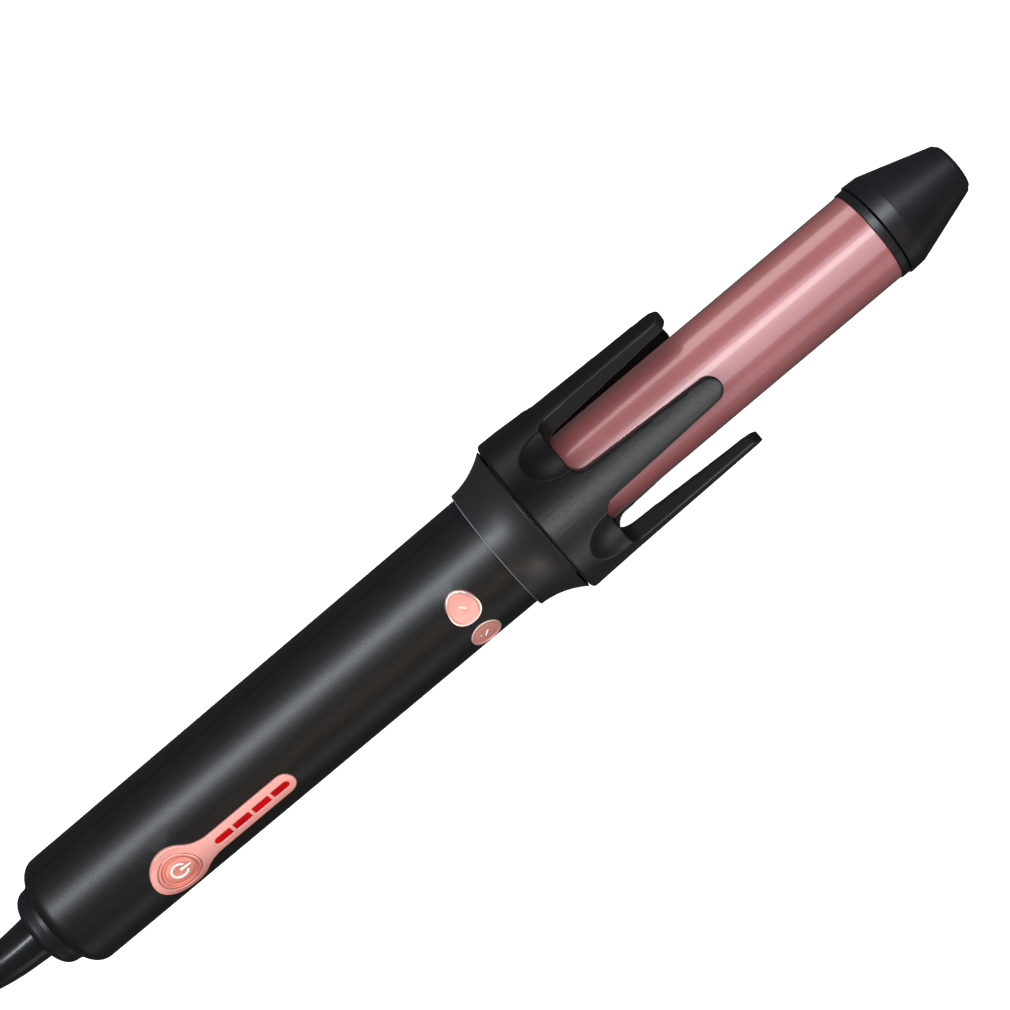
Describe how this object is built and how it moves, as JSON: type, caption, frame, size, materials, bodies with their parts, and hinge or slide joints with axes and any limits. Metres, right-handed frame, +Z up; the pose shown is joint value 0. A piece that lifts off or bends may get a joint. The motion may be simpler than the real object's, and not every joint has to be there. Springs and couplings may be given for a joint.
{
  "type": "automatic hair curler",
  "caption": "Automatic rotating hair curler with a heated barrel, a turning finger claw, a round grip with push controls and a swivelling mains cord wound into a coil.",
  "frame": {"origin": "centre of the tool's box at table height, cord and plug left out", "axes": "+X runs along the tool towards the cool tip, +Z up from the table, +Y to the side that the controls are rolled away from"},
  "size_m": [0.4588, 0.0856, 0.0515],
  "materials": {
    "grip_plastic": "satin",
    "collar_plastic": "semi-gloss",
    "claw_plastic": "matte",
    "dark_plastic": "satin",
    "rose_metal": "satin anodised",
    "rose_trim": "satin metallic",
    "rose_gloss": "metallic gloss",
    "red_lens": "gloss",
    "inner_plastic": "matte",
    "steel": "plain",
    "brass": "machined",
    "plated_pin": "nickel plated",
    "heat_aluminium": "plain",
    "ceramic": "matte",
    "lead_cover": "matte",
    "board": "satin",
    "module_case": "gloss",
    "cord_cover": "semi-gloss",
    "plug_plastic": "satin",
    "tie": "satin"
  },
  "bodies": {
    "grip": {"front_shell": "grip_plastic", "rear_shell": "grip_plastic", "collar": "collar_plastic", "swivel_housing": "grip_plastic", "brush_block": "inner_plastic", "bulkhead": "inner_plastic", "stem": "steel", "stem_clip": "steel", "barrel_base": "inner_plastic", "barrel": "rose_metal", "tip_mount": "inner_plastic", "tip_ring": "dark_plastic", "tip_cap": "dark_plastic", "heater_plate": "ceramic", "heat_spreader_upper": "heat_aluminium", "heat_spreader_lower": "heat_aluminium", "thermal_fuse": "steel", "heater_lead_1": "lead_cover", "heater_lead_2": "lead_cover", "motor": "steel", "gearbox": "inner_plastic", "circuit_board": "board", "bezel": "rose_trim", "light_guide": "red_lens", "indicator_leds": "inner_plastic", "supply_module": "module_case", "capacitor": "module_case", "power_switch": "steel", "left_turn_switch": "steel", "right_turn_switch": "steel", "shell_screw_1": "steel", "shell_screw_2": "steel", "board_screw_1": "steel", "board_screw_2": "steel"},
    "claw": {"claw": "claw_plastic", "rotor_hub": "inner_plastic", "hub_bush": "brass", "hub_screw_1": "steel", "hub_screw_2": "steel", "hub_screw_3": "steel"},
    "pinion": {"drive_pinion": "brass", "gearbox_shaft": "steel"},
    "power_button": {"power_button": "rose_gloss", "power_plunger": "inner_plastic"},
    "left_turn_button": {"left_turn_button": "rose_trim", "left_turn_plunger": "inner_plastic"},
    "right_turn_button": {"right_turn_button": "rose_trim", "right_turn_plunger": "inner_plastic"},
    "swivel": {"swivel_head": "dark_plastic", "slip_drum": "brass", "strain_relief": "cord_cover", "cord": "cord_cover", "cord_coil": "cord_cover", "cord_tail": "cord_cover", "cord_tie": "tie", "plug_body": "plug_plastic", "plug_pin_1": "plated_pin", "plug_pin_2": "plated_pin"}
  },
  "joints": [
    {"name": "claw_spin", "type": "hinge", "parent": "grip", "child": "claw", "pos_m": [0.01507, 0, 0.02499], "axis": [0.999, 0, 0.0457], "continuous": true},
    {"name": "pinion_spin", "type": "hinge", "parent": "grip", "child": "pinion", "pos_m": [0.01539, 0.00591, 0.01795], "axis": [0.999, 0, 0.0457], "continuous": true},
    {"name": "swivel_spin", "type": "hinge", "parent": "grip", "child": "swivel", "pos_m": [-0.16285, 0, 0.01684], "axis": [0.999, 0, 0.0457], "continuous": true},
    {"name": "power_press", "type": "slide", "parent": "grip", "child": "power_button", "axis": [0.035, 0.6428, -0.7652], "range_m": [0, 0.0006], "stiffness_N_per_m": 1000, "springref_m": -0.0005},
    {"name": "left_turn_press", "type": "slide", "parent": "grip", "child": "left_turn_button", "axis": [0.035, 0.6428, -0.7652], "range_m": [0, 0.0006], "stiffness_N_per_m": 1000, "springref_m": -0.0005},
    {"name": "right_turn_press", "type": "slide", "parent": "grip", "child": "right_turn_button", "axis": [0.035, 0.6428, -0.7652], "range_m": [0, 0.0006], "stiffness_N_per_m": 1000, "springref_m": -0.0005}
  ],
  "couplings": [
    {"joint": "pinion_spin", "follows": "claw_spin", "ratio": 3.3}
  ]
}
